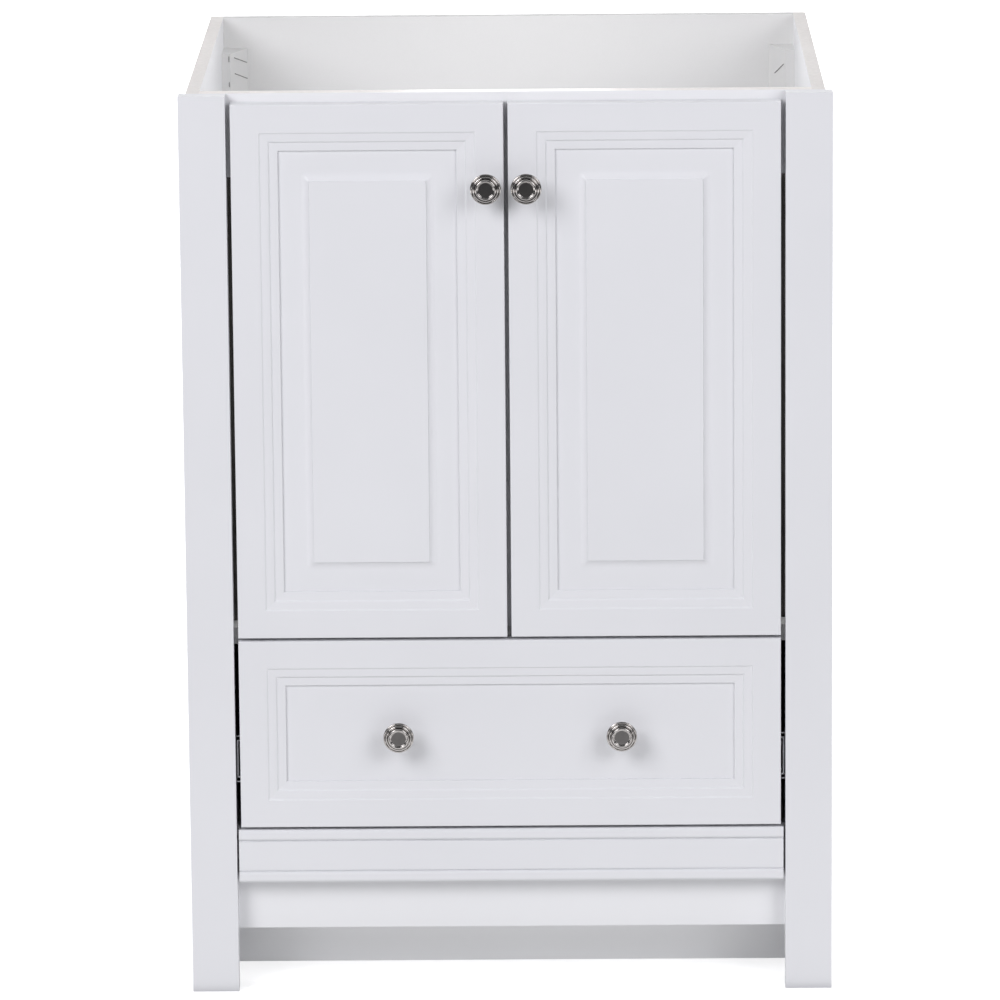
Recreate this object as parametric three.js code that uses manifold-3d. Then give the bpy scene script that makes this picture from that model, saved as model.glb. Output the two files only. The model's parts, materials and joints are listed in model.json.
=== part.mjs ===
import * as THREE from 'three';
import { mergeVertices } from 'three/addons/utils/BufferGeometryUtils.js';
import Module from 'manifold-3d';

const wasm = await Module();
wasm.setup();

// A 24 inch bathroom vanity cabinet, in millimetres. X is across, -Y is the front and +Z is up.
// The origin is the middle of its footprint on the floor, with the knobs counted in the depth.
const WIDTH = 610;
const HEIGHT = 864;
const CASE_DEPTH = 533;
const KNOB_LENGTH = 26;
const FRONT_Y = (KNOB_LENGTH - CASE_DEPTH) / 2;
const BACK_Y = FRONT_Y + CASE_DEPTH;

// The case: posts that run to the floor, with the side panels set in behind them.
const POST_WIDTH = 44;
const POST_DEPTH = 19;
const POST_OVERHANG = 6.5;
const PANEL = 12.5;
const BOARD = 16;
const POST_INNER_X = WIDTH / 2 - POST_WIDTH;
const CENTRE_STILE_WIDTH = 26;
const CLEAT_PROUD = 3.5;
const SPACER_SETBACK = 2.3;
const SIDE_OUTER_X = WIDTH / 2 - POST_OVERHANG;
const SIDE_INNER_X = SIDE_OUTER_X - PANEL;
const FRAME_Y = FRONT_Y + POST_DEPTH;
const BACK_INNER_Y = BACK_Y - PANEL;

// Heights of the front's bands, from the floor up.
const APRON_BOTTOM_Z = 58;
const MOULDING_BOTTOM_Z = 107.3;
const MOULDING_TOP_Z = 158.8;
const DRAWER_BOTTOM_Z = 161.8;
const DRAWER_TOP_Z = 343.3;
const DOOR_BOTTOM_Z = 346.3;
const DOOR_TOP_Z = 855.7;
const RAIL_BOTTOM_Z = 785;
const TOE_SETBACK = 105;
const DECK_TOP_Z = 352.8;

// Doors and drawer front: mitred frames with three small steps, around a panel in a groove.
const FRONT_THICKNESS = 18;
const OPENING_GAP = 4.5;
const MEETING_GAP = 4;
const MOULDING_GAP = 2;
const FRAME_FLAT = 27;
const FRAME_STEP = 8.5;
const STEP_DEPTHS = [1.2, 1.5];
const STEP_SLOPE = 0.5;
const STEP_BEVEL = 0.4;
const FRAME_WIDTH = 44;
const FIELD_DEPTH = 6;
const FIELD_THICKNESS = 6;
const GROOVE_START = 40;
const GROOVE_CLEARANCE = 0.1;
const TONGUE_INSET = 40.4;
const MITRE_GAP = 0.06;
const EDGE_EASE = 0.6;
const FRONT_OUTER_X = POST_INNER_X - OPENING_GAP;

// Knobs.
const KNOB_RADIUS = 14.5;
const DOOR_KNOB_X = 18.8;
const DOOR_KNOB_Z = 778.2;
const DRAWER_KNOB_X = 105.6;
const DRAWER_KNOB_Z = 252.2;
const SCREW_RADIUS = 2;
const SCREW_HOLE_RADIUS = 2.4;
const SCREW_HEAD_RADIUS = 3.8;
const SCREW_HEAD_HEIGHT = 2.4;
const SCREW_REACH = 9;

// Concealed hinges: a cup in the door's stile, and an arm on the cleat behind the post.
const HINGE_HEIGHTS = { upper: 750, lower: 442 };
const CUP_RADIUS = 17.5;
const CUP_WALL = 1.5;
const CUP_DEPTH = 11;
const CUP_FLANGE = 1;
const CUP_FROM_EDGE = 20.5;
const BORE_CLEARANCE = 0.3;
const ARM_WIDTH = 14;

// Drawer box and its telescopic slides.
const SLIDE_SPACE = 12.7;
const SLIDE_LENGTH = 450;
const SLIDE_Z = 224;
const SLIDE_SHEET = 1.2;
const SPACER_X = POST_INNER_X + SPACER_SETBACK;
const BOX_OUTER_X = SPACER_X - SLIDE_SPACE;
const BOX_SIDE = 12;
const BOX_BOTTOM_Z = 172;
const BOX_TOP_Z = 300;
const BOX_BASE = 6;
const BOX_BASE_Z = 180;
const BOX_DEPTH = 457;
const BOX_FRONT_Y = FRONT_Y + FRONT_THICKNESS;

const paint = (color, roughness = 0.45) => {
  return new THREE.MeshStandardMaterial({ color, roughness, metalness: 0 });
};
const metal = (color, roughness) => {
  return new THREE.MeshStandardMaterial({ color, roughness, metalness: 1 });
};
const WHITE_FRONT = paint(0xe6e7eb);
const WHITE_CASE = paint(0xe2e3e6);
const WHITE_INSIDE = paint(0xe0e1e2, 0.6);
const NICKEL = metal(0xb9b8b5, 0.16);
const STEEL = metal(0xa8abad, 0.38);

const vanity = new THREE.Group();

const addMesh = (name, geometry, material, parent = vanity) => {
  const mesh = new THREE.Mesh(geometry, material);
  mesh.name = name;
  parent.add(mesh);
  return mesh;
};

// A board that fills the given spans, each [low, high].
const addBoard = (name, x, y, z, material = WHITE_CASE, parent = vanity) => {
  const spans = [x, y, z];
  const geometry = new THREE.BoxGeometry(...spans.map(([low, high]) => high - low));
  const mesh = addMesh(name, geometry, material, parent);
  mesh.position.set(...spans.map(([low, high]) => (low + high) / 2));
  return mesh;
};

// The span between two depths on one side of the middle: side is -1 on the left, 1 on the right.
const sideSpan = (side, inner, outer) => (side < 0 ? [-outer, -inner] : [inner, outer]);

const SIDES = [
  { side: -1, label: 'left' },
  { side: 1, label: 'right' },
];

const closedShape = (points) => new THREE.Shape(points.map(([x, y]) => new THREE.Vector2(x, y)));

// Boolean work.
const toSolid = (geometry) => {
  const bare = geometry.clone();
  bare.deleteAttribute('normal');
  bare.deleteAttribute('uv');
  const merged = mergeVertices(bare, 1e-4);
  const vertProperties = Float32Array.from(merged.attributes.position.array);
  const triVerts = Uint32Array.from(merged.index.array);
  return new wasm.Manifold(new wasm.Mesh({ numProp: 3, vertProperties, triVerts }));
};

const fromSolid = (solid) => {
  const { numProp, vertProperties, triVerts } = solid.getMesh();
  const geometry = new THREE.BufferGeometry();
  geometry.setAttribute('position', new THREE.BufferAttribute(vertProperties, numProp));
  geometry.setIndex(new THREE.BufferAttribute(Uint32Array.from(triVerts), 1));
  geometry.computeVertexNormals();
  return geometry;
};

const cut = (geometry, tools) => {
  const solid = tools.reduce((rest, tool) => rest.subtract(toSolid(tool)), toSolid(geometry));
  return fromSolid(solid);
};

const join = (first, second) => fromSolid(toSolid(first).add(toSolid(second)));

// A plain cylinder along Y between two depths.
const rodAlongY = (radius, x, [yLow, yHigh], z, segments = 24) => {
  const geometry = new THREE.CylinderGeometry(radius, radius, yHigh - yLow, segments);
  return geometry.translate(x, (yLow + yHigh) / 2, z);
};

// ---- Case ----

const addCase = () => {
  const full = [0, HEIGHT];
  const inside = [-SIDE_INNER_X, SIDE_INNER_X];
  for (const { side, label } of SIDES) {
    const panelX = sideSpan(side, SIDE_INNER_X, SIDE_OUTER_X);
    addBoard(`${label}_side_panel`, panelX, [FRAME_Y, BACK_Y], full);
    const postX = sideSpan(side, POST_INNER_X, WIDTH / 2);
    addBoard(`${label}_front_post`, postX, [FRONT_Y, FRAME_Y], full, WHITE_FRONT);
  }
  addBoard('back_panel', inside, [BACK_INNER_Y, BACK_Y], full, WHITE_INSIDE);
  const frameY = [FRAME_Y, FRAME_Y + BOARD];
  addBoard('top_rail', inside, frameY, [RAIL_BOTTOM_Z, HEIGHT]);
  addBoard('apron_board', inside, frameY, [APRON_BOTTOM_Z, MOULDING_TOP_Z]);
  // The centre stile closes the gap between the doors from behind.
  const stileX = [-CENTRE_STILE_WIDTH / 2, CENTRE_STILE_WIDTH / 2];
  addBoard('centre_stile', stileX, frameY, [DECK_TOP_Z, RAIL_BOTTOM_Z]);
  const toeY = FRONT_Y + TOE_SETBACK;
  const floorZ = [MOULDING_TOP_Z - BOARD, MOULDING_TOP_Z];
  addBoard('toe_kick_board', inside, [toeY, toeY + BOARD], [0, floorZ[0]]);
  addBoard('bottom_panel', inside, [FRAME_Y + BOARD, BACK_INNER_Y], floorZ, WHITE_INSIDE);
  addBoard('deck_panel', inside, [FRAME_Y, BACK_INNER_Y], [DECK_TOP_Z - BOARD, DECK_TOP_Z], WHITE_INSIDE);
};

// The base moulding: a flat fascia between two rounded beads, each set off by a quirk.
const addBaseMoulding = () => {
  const height = MOULDING_TOP_Z - MOULDING_BOTTOM_Z;
  const bead = 10.5;
  const quirk = 1.3;
  const fascia = 1.6;
  const outline = new THREE.Shape();
  outline.moveTo(POST_DEPTH - 0.2, 0);
  outline.lineTo(2.5, 0);
  outline.quadraticCurveTo(0.2, 0.8, 0.2, 3.5);
  outline.lineTo(0.2, bead - 3);
  outline.quadraticCurveTo(0.4, bead - 0.2, 3, bead);
  outline.lineTo(3, bead + quirk);
  outline.lineTo(fascia, bead + quirk);
  outline.lineTo(fascia, height - bead - quirk);
  outline.lineTo(3, height - bead - quirk);
  outline.lineTo(3, height - bead);
  outline.quadraticCurveTo(0.4, height - bead + 0.2, 0.2, height - bead + 3);
  outline.lineTo(0.2, height - 3.5);
  outline.quadraticCurveTo(0.2, height - 0.8, 2.5, height);
  outline.lineTo(POST_DEPTH - 0.2, height);
  const length = 2 * (POST_INNER_X - MOULDING_GAP);
  const options = { depth: length, bevelEnabled: false, curveSegments: 5 };
  const geometry = new THREE.ExtrudeGeometry(outline, options);
  // Depth, height and length turn into Y, Z and X.
  geometry.applyMatrix4(new THREE.Matrix4().set(0, 0, 1, 0, 1, 0, 0, 0, 0, 1, 0, 0, 0, 0, 0, 1));
  geometry.translate(-length / 2, 0, 0);
  const mesh = addMesh('base_moulding', geometry, WHITE_FRONT);
  mesh.position.set(0, FRONT_Y, MOULDING_BOTTOM_Z);
};

// Braces in the back corners, with one slanted face.
const addCornerBlocks = () => {
  const top = 833.6;
  const height = 100;
  const reach = 43;
  const foot = 8.7;
  const head = 24.4;
  for (const { side, label } of SIDES) {
    const outline = closedShape([
      [side * SIDE_INNER_X, BACK_INNER_Y - reach],
      [side * (SIDE_INNER_X - foot), BACK_INNER_Y - reach],
      [side * (SIDE_INNER_X - head), BACK_INNER_Y],
      [side * SIDE_INNER_X, BACK_INNER_Y],
    ]);
    const geometry = new THREE.ExtrudeGeometry(outline, { depth: height, bevelEnabled: false });
    addMesh(`${label}_corner_block`, geometry, WHITE_INSIDE).position.z = top - height;
  }
};

// Cleats carry the hinges, standing a little proud of the posts' inner edges, well behind them.
// Spacers carry the slides, a little short of those edges.
const addCleats = () => {
  const cleatStart = 30;
  const cleatEnd = 80;
  const spacerHeight = 60;
  const spacerStart = 20;
  for (const { side, label } of SIDES) {
    const cleatX = sideSpan(side, POST_INNER_X - CLEAT_PROUD, SIDE_INNER_X);
    const cleatY = [FRAME_Y + cleatStart, FRAME_Y + cleatEnd];
    addBoard(`${label}_hinge_cleat`, cleatX, cleatY, [DECK_TOP_Z, RAIL_BOTTOM_Z], WHITE_INSIDE);
    const spacerX = sideSpan(side, POST_INNER_X + SPACER_SETBACK, SIDE_INNER_X);
    const spacerY = [FRAME_Y + spacerStart, FRAME_Y + SLIDE_LENGTH];
    const spacerZ = [SLIDE_Z - spacerHeight / 2, SLIDE_Z + spacerHeight / 2];
    addBoard(`${label}_slide_spacer`, spacerX, spacerY, spacerZ, WHITE_INSIDE);
  }
};

// ---- Framed fronts ----

// Section of a frame bar: across is measured inward from the outer edge, depth from the front face.
const frameSection = () => {
  const points = [[0, FRONT_THICKNESS], [0, EDGE_EASE], [EDGE_EASE, 0], [FRAME_FLAT, 0]];
  let depth = 0;
  STEP_DEPTHS.forEach((step, i) => {
    const start = FRAME_FLAT + i * FRAME_STEP;
    depth += step;
    points.push([start + STEP_BEVEL, depth]);
    depth += STEP_SLOPE;
    points.push([start + FRAME_STEP, depth]);
  });
  const grooveFront = FIELD_DEPTH - GROOVE_CLEARANCE;
  const grooveBack = FIELD_DEPTH + FIELD_THICKNESS + GROOVE_CLEARANCE;
  points.push([FRAME_WIDTH, grooveFront], [GROOVE_START, grooveFront], [GROOVE_START, grooveBack]);
  points.push([FRAME_WIDTH, grooveBack], [FRAME_WIDTH, FRONT_THICKNESS]);
  return closedShape(points);
};

// A bar along X with its outer edge at z = 0, its front at y = 0 and both ends mitred at 45 degrees.
const mitredBar = (length) => {
  const geometry = new THREE.ExtrudeGeometry(frameSection(), { depth: length, bevelEnabled: false });
  geometry.rotateY(-Math.PI / 2);
  geometry.translate(length / 2, 0, 0);
  const position = geometry.attributes.position;
  for (let i = 0; i < position.count; i += 1) {
    const x = position.getX(i);
    position.setX(i, Math.sign(x) * (length / 2 - MITRE_GAP - position.getZ(i)));
  }
  return geometry;
};

// A solid made of nested rectangles, each { inset, depth }, with the last one nearest the front.
const steppedPanel = (width, height, rings) => {
  const positions = [];
  const index = [];
  for (const { inset, depth } of rings) {
    const x = width / 2 - inset;
    const z = height / 2 - inset;
    positions.push(-x, depth, -z, x, depth, -z, x, depth, z, -x, depth, z);
  }
  for (let ring = 0; ring + 1 < rings.length; ring += 1) {
    for (let corner = 0; corner < 4; corner += 1) {
      const a = ring * 4 + corner;
      const b = ring * 4 + ((corner + 1) % 4);
      index.push(a, b, b + 4, a, b + 4, a + 4);
    }
  }
  const last = (rings.length - 1) * 4;
  index.push(0, 2, 1, 0, 3, 2, last, last + 1, last + 2, last, last + 2, last + 3);
  const geometry = new THREE.BufferGeometry();
  geometry.setAttribute('position', new THREE.Float32BufferAttribute(positions, 3));
  geometry.setIndex(index);
  geometry.computeVertexNormals();
  return geometry;
};

const FLAT_FIELD = [
  { inset: TONGUE_INSET, depth: FIELD_DEPTH + FIELD_THICKNESS },
  { inset: TONGUE_INSET, depth: FIELD_DEPTH },
];
const RAISED_FIELD = [
  ...FLAT_FIELD,
  { inset: 65, depth: FIELD_DEPTH },
  { inset: 72.6, depth: 3.4 },
  { inset: 73.2, depth: 1.8 },
];

// A mitred frame and its panel. Bars lists each bar's name and side, and holes are cut through all.
const addFramedFront = ({ prefix, x, z, names, rings, holes, parent }) => {
  const width = x[1] - x[0];
  const height = z[1] - z[0];
  const middle = [(x[0] + x[1]) / 2, (z[0] + z[1]) / 2];
  const bars = [
    { name: names.bottom, length: width, turn: 0, at: [0, -height / 2] },
    { name: names.top, length: width, turn: Math.PI, at: [0, height / 2] },
    { name: names.low, length: height, turn: Math.PI / 2, at: [-width / 2, 0] },
    { name: names.high, length: height, turn: -Math.PI / 2, at: [width / 2, 0] },
  ];
  for (const { name, length, turn, at } of bars) {
    const geometry = mitredBar(length).rotateY(turn);
    geometry.translate(middle[0] + at[0], FRONT_Y, middle[1] + at[1]);
    const cutters = holes[name] ?? [];
    const finished = cutters.length > 0 ? cut(geometry, cutters) : geometry;
    addMesh(`${prefix}_${name}`, finished, WHITE_FRONT, parent);
  }
  const panel = steppedPanel(width, height, rings).translate(middle[0], FRONT_Y, middle[1]);
  const cutters = holes.panel ?? [];
  addMesh(`${prefix}_panel`, cutters.length > 0 ? cut(panel, cutters) : panel, WHITE_FRONT, parent);
};

// ---- Knobs ----

// Knob profile as [radius, distance from the base], from the screw hole round to the face.
const KNOB_PROFILE = [
  [0, SCREW_REACH + 1],
  [SCREW_HOLE_RADIUS, SCREW_REACH + 1],
  [SCREW_HOLE_RADIUS, 0],
  [7.4, 0],
  [7.4, 1.6],
  [5.4, 3],
  [5, 8],
  [6.5, 12],
  [11, 15.5],
  [KNOB_RADIUS, 18],
  [KNOB_RADIUS, 20.5],
  [12, 22.5],
  [11.4, 23.6],
  [9, 24],
  [8.6, 25.2],
  [7.4, KNOB_LENGTH],
  [0, KNOB_LENGTH],
];

const latheAlongY = (profile, segments) => {
  const points = profile.map(([radius, height]) => new THREE.Vector2(radius, height));
  return new THREE.LatheGeometry(points, segments);
};

// Adds a knob whose base sits at baseY, and the screw that holds it from behind the wood.
const addKnob = (prefix, x, baseY, woodBackY, z, parent) => {
  const knob = addMesh(`${prefix}_knob`, latheAlongY(KNOB_PROFILE, 28), NICKEL, parent);
  knob.rotation.x = Math.PI;
  knob.position.set(x, baseY, z);
  const shaftEnd = woodBackY - baseY + SCREW_REACH;
  const screwProfile = [
    [0, -SCREW_HEAD_HEIGHT],
    [SCREW_HEAD_RADIUS - 1, -SCREW_HEAD_HEIGHT],
    [SCREW_HEAD_RADIUS, -SCREW_HEAD_HEIGHT / 2],
    [SCREW_HEAD_RADIUS, 0],
    [SCREW_RADIUS, 0],
    [SCREW_RADIUS, shaftEnd],
    [0, shaftEnd],
  ];
  const screw = addMesh(`${prefix}_knob_screw`, latheAlongY(screwProfile, 12), STEEL, parent);
  screw.rotation.x = Math.PI;
  screw.position.set(x, woodBackY, z);
};

// A hole for a knob's screw, long enough to pass through the wood at any knob.
const knobHole = (x, z) => rodAlongY(SCREW_HOLE_RADIUS, x, [FRONT_Y - 5, FRONT_Y + 60], z, 12);

// ---- Doors ----

const cupX = (side) => side * (FRONT_OUTER_X - CUP_FROM_EDGE);
const CUP_MOUTH_Y = FRONT_Y + FRONT_THICKNESS;

// A cup with a rim and two wings, which lie on the door's back with a hair of lift.
const hingeCup = (side, z) => {
  const floor = -CUP_DEPTH;
  const inner = CUP_RADIUS - CUP_WALL;
  const lift = 0.02;
  const profile = [
    [0, floor],
    [CUP_RADIUS, floor],
    [CUP_RADIUS, lift],
    [CUP_RADIUS + 2, lift],
    [CUP_RADIUS + 2, CUP_FLANGE],
    [inner, CUP_FLANGE],
    [inner, floor + CUP_WALL],
    [0, floor + CUP_WALL],
  ];
  const cup = latheAlongY(profile, 32);
  const wing = new THREE.Shape();
  const wingReach = 24;
  const wingRadius = 6;
  wing.absarc(0, wingReach, wingRadius, 0, Math.PI, false);
  wing.absarc(0, -wingReach, wingRadius, Math.PI, 2 * Math.PI, false);
  const options = { depth: CUP_FLANGE - lift, bevelEnabled: false, curveSegments: 8 };
  const plate = new THREE.ExtrudeGeometry(wing, options);
  plate.rotateX(-Math.PI / 2).translate(0, lift, 0);
  const mouth = new THREE.CylinderGeometry(inner, inner, CUP_DEPTH, 32);
  return join(cup, cut(plate, [mouth])).translate(cupX(side), CUP_MOUTH_Y, z);
};

const addDoors = () => {
  for (const { side, label } of SIDES) {
    const door = new THREE.Group();
    vanity.add(door);
    const prefix = `${label}_door`;
    const [hingeStile, meetingStile] = ['hinge_stile', 'meeting_stile'];
    const bores = Object.values(HINGE_HEIGHTS).map((z) => {
      const span = [CUP_MOUTH_Y - CUP_DEPTH - BORE_CLEARANCE, CUP_MOUTH_Y + 1];
      return rodAlongY(CUP_RADIUS + BORE_CLEARANCE, cupX(side), span, z, 32);
    });
    const knobX = side * DOOR_KNOB_X;
    addFramedFront({
      prefix,
      x: sideSpan(side, MEETING_GAP / 2, FRONT_OUTER_X),
      z: [DOOR_BOTTOM_Z, DOOR_TOP_Z],
      names: {
        bottom: 'bottom_rail',
        top: 'top_rail',
        low: side < 0 ? hingeStile : meetingStile,
        high: side < 0 ? meetingStile : hingeStile,
      },
      rings: RAISED_FIELD,
      holes: { [hingeStile]: bores, [meetingStile]: [knobHole(knobX, DOOR_KNOB_Z)] },
      parent: door,
    });
    addKnob(prefix, knobX, FRONT_Y, FRONT_Y + FRONT_THICKNESS, DOOR_KNOB_Z, door);
    for (const [level, z] of Object.entries(HINGE_HEIGHTS)) {
      addMesh(`${prefix}_${level}_hinge_cup`, hingeCup(side, z), STEEL, door);
    }
  }
};

// The cranked hinge arm, with its mounting plate on the cleat. Its nose reaches into the cup when
// the door is shut, and stays clear of the cup's rim as the door swings about the hinge axis.
const addHingeArms = () => {
  const plate = { thickness: 2.5, y: [52, 80], halfHeight: 24 };
  const armBase = CLEAT_PROUD + plate.thickness - 0.2;
  const armTop = armBase + 11;
  const armOutline = [
    [armBase, 84],
    [armTop - 1, 84],
    [armTop, 80],
    [armTop, 50],
    [31, 32],
    [31, 10],
    [23.5, 9.5],
    [22, 13],
    [20.5, 24],
    [armBase, 45],
  ];
  for (const { side, label } of SIDES) {
    const toX = (inward) => side * (POST_INNER_X - inward);
    for (const [level, z] of Object.entries(HINGE_HEIGHTS)) {
      const outline = closedShape(armOutline.map(([inward, back]) => [toX(inward), FRONT_Y + back]));
      const arm = new THREE.ExtrudeGeometry(outline, { depth: ARM_WIDTH, bevelEnabled: false });
      arm.translate(0, 0, z - ARM_WIDTH / 2);
      const [yLow, yHigh] = plate.y;
      const base = new THREE.BoxGeometry(plate.thickness, yHigh - yLow, 2 * plate.halfHeight);
      base.translate(toX(CLEAT_PROUD + plate.thickness / 2), FRONT_Y + (yLow + yHigh) / 2, z);
      addMesh(`${label}_${level}_hinge_arm`, join(arm, base), STEEL);
    }
  }
};

// ---- Drawer and slides ----

// A channel of bent sheet along Y: its web stands at webAt, its flanges point towards flangeTo.
// Both are measured inward from the spacer's face.
const channel = (side, webAt, flangeTo, halfHeight) => {
  const webInner = webAt + Math.sign(flangeTo - webAt) * SLIDE_SHEET;
  const lipInner = halfHeight - SLIDE_SHEET;
  const section = [
    [webAt, -halfHeight],
    [flangeTo, -halfHeight],
    [flangeTo, -lipInner],
    [webInner, -lipInner],
    [webInner, lipInner],
    [flangeTo, lipInner],
    [flangeTo, halfHeight],
    [webAt, halfHeight],
  ];
  const outline = closedShape(section.map(([inward, z]) => [side * (SPACER_X - inward), z]));
  const geometry = new THREE.ExtrudeGeometry(outline, { depth: SLIDE_LENGTH, bevelEnabled: false });
  geometry.rotateX(Math.PI / 2);
  return geometry.translate(0, BOX_FRONT_Y + 3 + SLIDE_LENGTH, SLIDE_Z);
};

const addSlides = (drawer) => {
  for (const { side, label } of SIDES) {
    addMesh(`${label}_slide_cabinet_member`, channel(side, 0, 9.5, 22.8), STEEL);
    addMesh(`${label}_slide_middle_member`, channel(side, 3, 10.6, 18.4), STEEL);
    addMesh(`${label}_slide_drawer_member`, channel(side, SLIDE_SPACE, 5.6, 13.6), STEEL, drawer);
  }
};

const addDrawer = () => {
  const drawer = new THREE.Group();
  vanity.add(drawer);
  const knobXs = SIDES.map(({ side, label }) => ({ label, x: side * DRAWER_KNOB_X }));
  const holes = knobXs.map(({ x }) => knobHole(x, DRAWER_KNOB_Z));
  addFramedFront({
    prefix: 'drawer_front',
    x: [-FRONT_OUTER_X, FRONT_OUTER_X],
    z: [DRAWER_BOTTOM_Z, DRAWER_TOP_Z],
    names: { bottom: 'bottom_rail', top: 'top_rail', low: 'left_stile', high: 'right_stile' },
    rings: FLAT_FIELD,
    holes: { panel: holes },
    parent: drawer,
  });
  const boxZ = [BOX_BOTTOM_Z, BOX_TOP_Z];
  const boxEndY = BOX_FRONT_Y + BOX_DEPTH;
  const inner = BOX_OUTER_X - BOX_SIDE;
  const across = [-inner, inner];
  for (const { side, label } of SIDES) {
    const sideX = sideSpan(side, inner, BOX_OUTER_X);
    addBoard(`drawer_box_${label}_side`, sideX, [BOX_FRONT_Y, boxEndY], boxZ, WHITE_INSIDE, drawer);
  }
  const frontY = [BOX_FRONT_Y, BOX_FRONT_Y + BOX_SIDE];
  const frontSize = [2 * inner, BOX_SIDE, BOX_TOP_Z - BOX_BOTTOM_Z];
  const boxFront = new THREE.BoxGeometry(...frontSize);
  boxFront.translate(0, BOX_FRONT_Y + BOX_SIDE / 2, (BOX_BOTTOM_Z + BOX_TOP_Z) / 2);
  addMesh('drawer_box_front', cut(boxFront, holes), WHITE_INSIDE, drawer);
  addBoard('drawer_box_back', across, [boxEndY - BOX_SIDE, boxEndY], boxZ, WHITE_INSIDE, drawer);
  const baseZ = [BOX_BASE_Z, BOX_BASE_Z + BOX_BASE];
  addBoard('drawer_box_bottom', across, [frontY[1], boxEndY - BOX_SIDE], baseZ, WHITE_INSIDE, drawer);
  for (const { label, x } of knobXs) {
    addKnob(`drawer_${label}`, x, FRONT_Y + FIELD_DEPTH, frontY[1], DRAWER_KNOB_Z, drawer);
  }
  addSlides(drawer);
};

addCase();
addBaseMoulding();
addCornerBlocks();
addCleats();
addHingeArms();
addDoors();
addDrawer();

export default vanity;
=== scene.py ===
import json
import math

import bmesh
import bpy
from mathutils import Matrix, Vector


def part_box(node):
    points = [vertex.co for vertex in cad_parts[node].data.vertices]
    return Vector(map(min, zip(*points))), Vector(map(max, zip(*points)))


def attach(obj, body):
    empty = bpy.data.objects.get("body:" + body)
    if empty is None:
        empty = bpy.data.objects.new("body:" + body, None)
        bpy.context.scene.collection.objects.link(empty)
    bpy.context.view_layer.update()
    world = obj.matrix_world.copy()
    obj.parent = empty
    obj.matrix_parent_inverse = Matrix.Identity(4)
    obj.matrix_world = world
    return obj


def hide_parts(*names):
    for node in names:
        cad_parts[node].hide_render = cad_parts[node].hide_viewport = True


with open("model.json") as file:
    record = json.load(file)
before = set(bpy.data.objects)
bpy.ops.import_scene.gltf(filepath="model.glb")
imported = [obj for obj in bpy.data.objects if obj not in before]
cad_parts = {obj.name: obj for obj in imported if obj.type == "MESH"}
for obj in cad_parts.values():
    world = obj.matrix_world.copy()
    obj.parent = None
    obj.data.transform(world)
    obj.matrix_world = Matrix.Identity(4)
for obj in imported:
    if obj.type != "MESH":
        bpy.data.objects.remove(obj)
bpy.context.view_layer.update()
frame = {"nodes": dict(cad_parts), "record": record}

# Sizes are in metres. MM turns a millimetre into one.
MM = 0.001
SIDES = {"left": -1, "right": 1}
LEVELS = ("upper", "lower")

NODES = frame["nodes"]
POST_LOW, POST_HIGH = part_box("left_front_post")
FRONT_Y = POST_LOW.y
POST_INNER_X = -POST_HIGH.x
TOP_Z = POST_HIGH.z
SIDE_INNER_X = -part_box("left_side_panel")[1].x

# Hinge screws: heights from the hinge's middle, and how far the cups' heads sink into the flange.
PLATE_SCREW_RISES = (-17 * MM, 17 * MM)
CUP_SCREW_RISES = (-24 * MM, 24 * MM)
CUP_SCREW_SINK = 1.84 * MM


# ---- Camera, stage and lights ----

def add_camera():
    """The long lens that sees the front slightly from above, a little off its middle."""
    data = bpy.data.cameras.new("camera")
    data.sensor_width = 36
    data.lens = 247.9
    data.clip_end = 60
    camera = bpy.data.objects.new("camera", data)
    bpy.context.scene.collection.objects.link(camera)
    yaw, pitch, roll = (math.radians(angle) for angle in (0.46, -12.08, 0.48))
    turn = Matrix.Rotation(yaw, 4, "Z") @ Matrix.Rotation(pitch, 4, "X")
    turn = turn @ Matrix.Rotation(roll, 4, "Y") @ Matrix.Rotation(math.radians(90), 4, "X")
    camera.matrix_world = Matrix.Translation((0.043, FRONT_Y - 6.337, 1.835)) @ turn
    bpy.context.scene.camera = camera


def add_light(name, place, aim, size, power, colour=(1.0, 1.0, 1.0)):
    data = bpy.data.lights.new(name, "AREA")
    data.shape = "RECTANGLE"
    data.size, data.size_y = size
    data.energy = power
    data.color = colour
    light = bpy.data.objects.new(name, data)
    bpy.context.scene.collection.objects.link(light)
    light.location = place
    light.rotation_euler = (Vector(aim) - Vector(place)).to_track_quat("-Z", "Y").to_euler()
    light.visible_camera = False
    return light


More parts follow.
